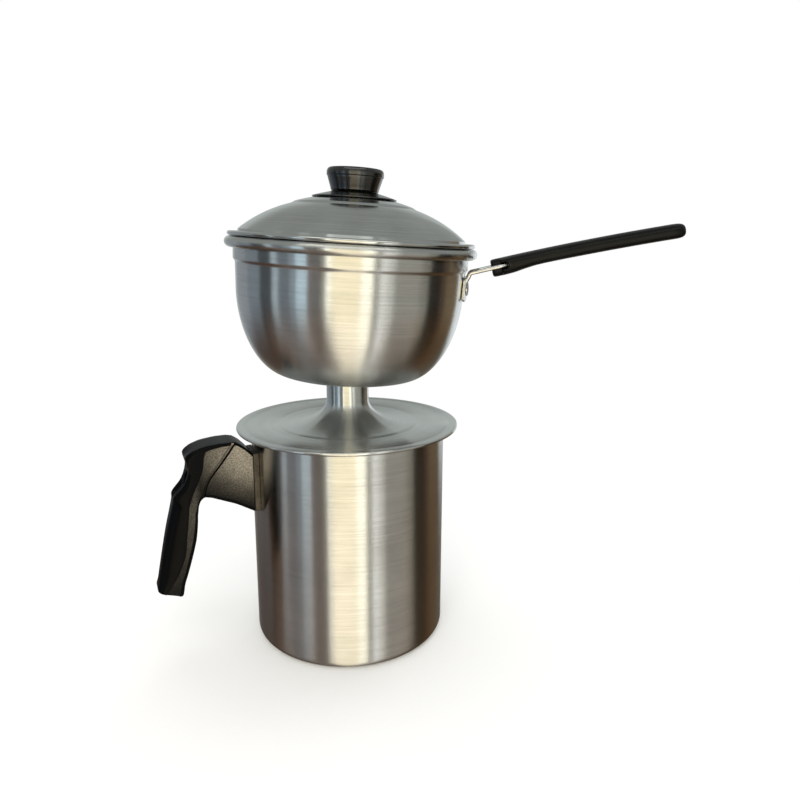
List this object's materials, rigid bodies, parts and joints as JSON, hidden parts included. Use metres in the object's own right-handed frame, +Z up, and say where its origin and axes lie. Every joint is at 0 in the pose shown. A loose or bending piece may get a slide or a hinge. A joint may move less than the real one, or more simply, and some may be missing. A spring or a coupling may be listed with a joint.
{
  "type": "couscous steamer",
  "caption": "Small stovetop couscous steamer: boiling jug with side handle, steam plate and neck carrying a long-handled bowl with grid and knobbed lid.",
  "frame": {"origin": "centre of the jug's flat base, on the surface it stands on", "axes": "+Z up along the jug's axis; the jug's handle points along -X and the pouring lip along +X; the bowl's handle points 30 degrees from +X towards -Y; the bowl leans 3.3 degrees from +Z towards 43 degrees from +X on the -Y side"},
  "size_m": [0.2871, 0.172, 0.2854],
  "materials": {
    "jug_aluminium": "spun and brushed round the jug, with fine use scratches",
    "bracket_aluminium": "plain satin casting",
    "rivet_aluminium": "plain, upset by hand",
    "handle_phenolic": "black-brown moulded phenolic, finely grained sides",
    "plated_steel": "bright plated steel wire and sheet",
    "plate_aluminium": "spun, satin, with turned rings",
    "bowl_aluminium": "spun and brushed round the bowl, brighter rim",
    "grid_aluminium": "satin punched sheet",
    "grip_plastic": "black moulded plastic, matt",
    "lid_aluminium": "spun, fine satin with turned rings",
    "knob_phenolic": "glossy black moulded phenolic",
    "insert_brass": "plain turned brass"
  },
  "bodies": {
    "boiler": {"boiler_jug": "jug_aluminium", "handle_bracket": "bracket_aluminium", "bracket_rivet_lower": "rivet_aluminium", "bracket_rivet_upper": "rivet_aluminium", "jug_handle": "handle_phenolic", "handle_screw": "plated_steel"},
    "steamer": {"steam_plate": "plate_aluminium", "bowl_washer": "rivet_aluminium", "steamer_bowl": "bowl_aluminium", "bowl_handle_frame": "plated_steel", "plate_rivet_near": "plated_steel", "plate_rivet_far": "plated_steel", "bowl_grip": "grip_plastic"},
    "grid": {"steam_grid": "grid_aluminium"},
    "lid": {"lid": "lid_aluminium", "knob_guard": "knob_phenolic", "lid_knob": "knob_phenolic", "knob_insert": "insert_brass", "knob_screw": "plated_steel", "knob_washer": "plated_steel"}
  },
  "joints": [
    {"name": "steamer_lift", "type": "slide", "parent": "boiler", "child": "steamer", "axis": [0, 0, 1], "range_m": [0, 0.12]},
    {"name": "grid_lift", "type": "slide", "parent": "steamer", "child": "grid", "axis": [0.0421, -0.0393, 0.9983], "range_m": [0, 0.05]},
    {"name": "lid_lift", "type": "slide", "parent": "steamer", "child": "lid", "axis": [0.0421, -0.0393, 0.9983], "range_m": [0, 0.08]}
  ]
}
